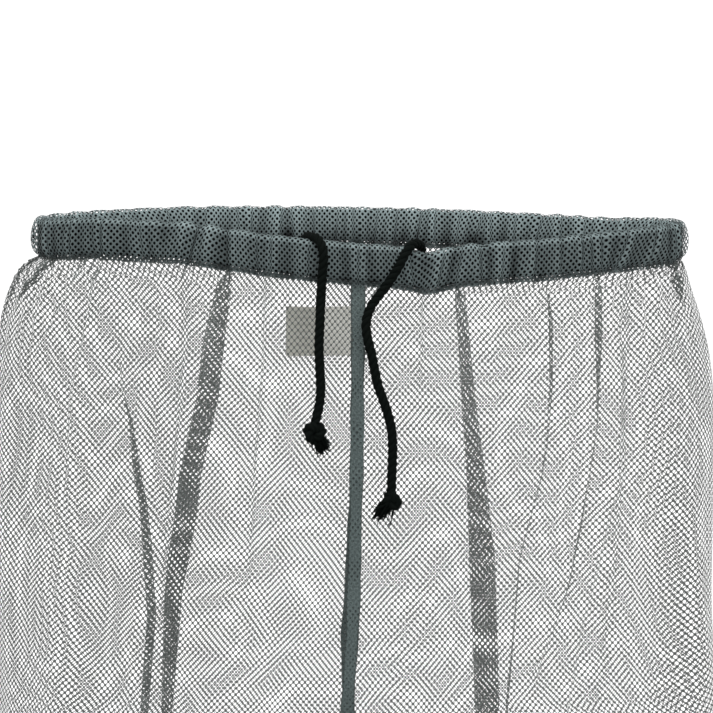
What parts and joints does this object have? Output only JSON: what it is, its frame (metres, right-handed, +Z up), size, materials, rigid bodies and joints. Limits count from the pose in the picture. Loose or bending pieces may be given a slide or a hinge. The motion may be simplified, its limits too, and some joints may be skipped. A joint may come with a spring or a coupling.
{
  "type": "mesh protective trousers",
  "caption": "Net over-trousers for beekeeping with an elasticated drawcord waist, centre seams and elasticated ankle cuffs, shown opened as worn.",
  "frame": {"origin": "centre of the waist opening, level with the waistband's top edge at its sides", "axes": "+Z up along the worn garment, -Y to the wearer's front, +X to the right as seen from the front; left_ names are on the -X side as seen from the front"},
  "size_m": [0.428, 0.2344, 1.01],
  "materials": {
    "casing_net": "open knitted net over elastic",
    "body_net": "open knitted net",
    "elastic": "woven elastic",
    "cord": "twisted three-strand cord",
    "seam": "overlocked net layers",
    "thread": "sewing thread",
    "label": "woven satin tape"
  },
  "bodies": {
    "waist": {"waist_casing": "casing_net", "waist_elastic": "elastic", "elastic_join": "elastic", "waist_drawcord": "cord", "waist_stitching": "thread", "left_cord_exit": "thread", "right_cord_exit": "thread", "left_cord_bridge": "cord", "right_cord_bridge": "cord", "left_hip_panel": "body_net", "right_hip_panel": "body_net", "front_rise_seam": "seam", "back_rise_seam": "seam", "crotch_bar_tack": "thread", "care_label": "label"},
    "left_leg": {"left_leg_panel": "body_net", "left_inseam": "seam", "left_cuff_casing": "casing_net", "left_cuff_elastic": "elastic", "left_cuff_elastic_join": "elastic", "left_cuff_stitching": "thread"},
    "right_leg": {"right_leg_panel": "body_net", "right_inseam": "seam", "right_cuff_casing": "casing_net", "right_cuff_elastic": "elastic", "right_cuff_elastic_join": "elastic", "right_cuff_stitching": "thread"},
    "left_tail": {"left_cord_tail": "cord"},
    "right_tail": {"right_cord_tail": "cord"},
    "left_pull": {"left_knot": "cord", "left_frayed_end": "cord"},
    "right_pull": {"right_knot": "cord", "right_frayed_end": "cord"}
  },
  "joints": [
    {"name": "left_leg_swing", "type": "hinge", "parent": "waist", "child": "left_leg", "pos_m": [-0.108, 0, -0.348], "axis": [1, 0, 0], "range_deg": [-25, 20]},
    {"name": "right_leg_swing", "type": "hinge", "parent": "waist", "child": "right_leg", "pos_m": [0.108, 0, -0.348], "axis": [1, 0, 0], "range_deg": [-25, 20]},
    {"name": "left_tail_swing", "type": "hinge", "parent": "waist", "child": "left_tail", "pos_m": [-0.0213, -0.108, -0.0328], "axis": [0, 1, 0], "range_deg": [-5, 22]},
    {"name": "right_tail_swing", "type": "hinge", "parent": "waist", "child": "right_tail", "pos_m": [0.012, -0.108, -0.0318], "axis": [0, 1, 0], "range_deg": [-22, 6]},
    {"name": "left_cord_pull", "type": "slide", "parent": "left_tail", "child": "left_pull", "axis": [0, 0, -1], "range_m": [0, 0.05]},
    {"name": "right_cord_pull", "type": "slide", "parent": "right_tail", "child": "right_pull", "axis": [0, 0, -1], "range_m": [0, 0.05]}
  ]
}
